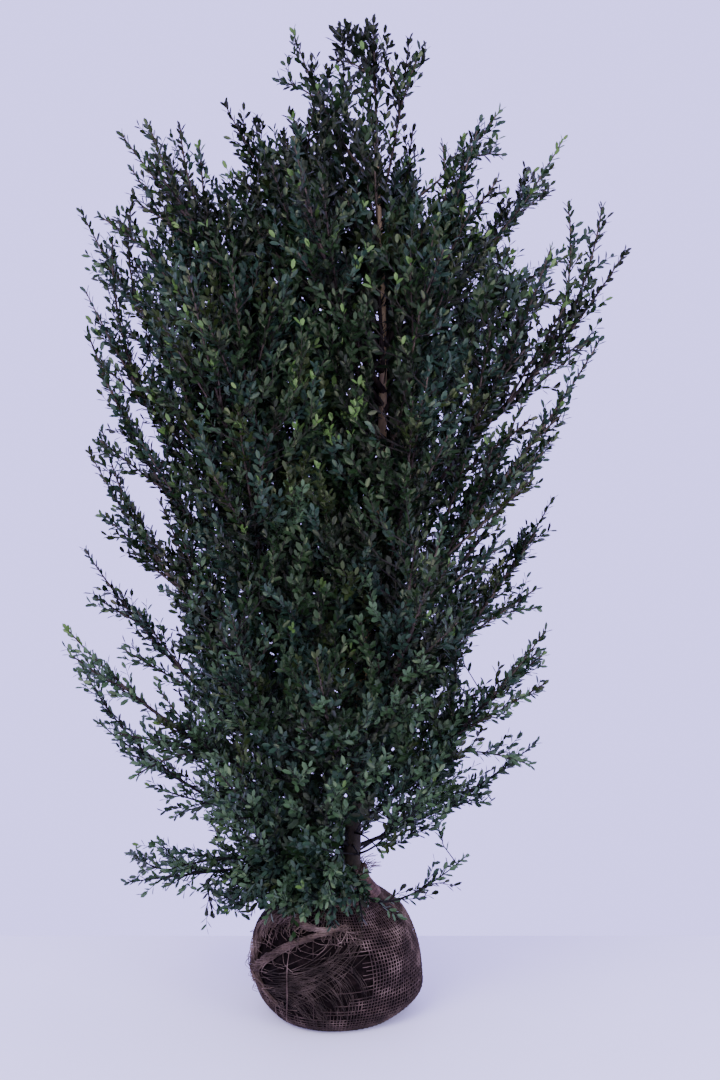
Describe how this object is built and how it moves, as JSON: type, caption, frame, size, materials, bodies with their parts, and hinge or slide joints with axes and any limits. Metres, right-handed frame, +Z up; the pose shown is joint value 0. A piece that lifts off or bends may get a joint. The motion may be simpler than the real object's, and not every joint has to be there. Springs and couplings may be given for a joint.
{
  "type": "japanese holly shrub",
  "caption": "Evergreen shrub with small, glossy, oval leaves on ascending shoots; its stems rise from a hessian-wrapped root ball into a tall, full crown.",
  "frame": {"origin": "middle of the root ball's flat underside, on the ground", "axes": "+Z up, +X to the right as pictured, +Y away from the viewer"},
  "size_m": [1.2373, 0.9415, 2.2918],
  "materials": {
    "wrapped_soil": "matte",
    "hessian": "matte",
    "bark": "matte",
    "leaf": "satin"
  },
  "bodies": {
    "root": {"bough_back_4": "bark", "bough_back_5": "bark", "bough_front_5": "bark", "bough_left_3": "bark", "bough_left_5": "bark", "bough_left_6": "bark", "bough_left_9": "bark", "bough_right_5": "bark", "bough_right_6": "bark", "bough_right_7": "bark", "foliage_back_1": "leaf", "foliage_back_2": "leaf", "foliage_back_3": "leaf", "foliage_back_4": "leaf", "foliage_back_5": "leaf", "foliage_back_6": "leaf", "foliage_front_1": "leaf", "foliage_front_2": "leaf", "foliage_front_3": "leaf", "foliage_front_4": "leaf", "foliage_front_5": "leaf", "foliage_front_6": "leaf", "foliage_front_7": "leaf", "foliage_inner_1": "leaf", "foliage_inner_2": "leaf", "foliage_inner_3": "leaf", "foliage_inner_4": "leaf", "foliage_inner_5": "leaf", "foliage_inner_6": "leaf", "foliage_inner_7": "leaf", "foliage_inner_8": "leaf", "foliage_left_1": "leaf", "foliage_left_10": "leaf", "foliage_left_11": "leaf", "foliage_left_2": "leaf", "foliage_left_3": "leaf", "foliage_left_4": "leaf", "foliage_left_5": "leaf", "foliage_left_6": "leaf", "foliage_left_7": "leaf", "foliage_left_8": "leaf", "foliage_left_9": "leaf", "foliage_right_1": "leaf", "foliage_right_10": "leaf", "foliage_right_2": "leaf", "foliage_right_3": "leaf", "foliage_right_4": "leaf", "foliage_right_5": "leaf", "foliage_right_6": "leaf", "foliage_right_7": "leaf", "foliage_right_8": "leaf", "foliage_right_9": "leaf", "foliage_second_stem_tip": "leaf", "foliage_trunk_tip": "leaf", "hessian_collar": "hessian", "hessian_hem": "hessian", "root_ball": "wrapped_soil", "second_stem": "bark", "trunk": "bark"}
  },
  "joints": []
}
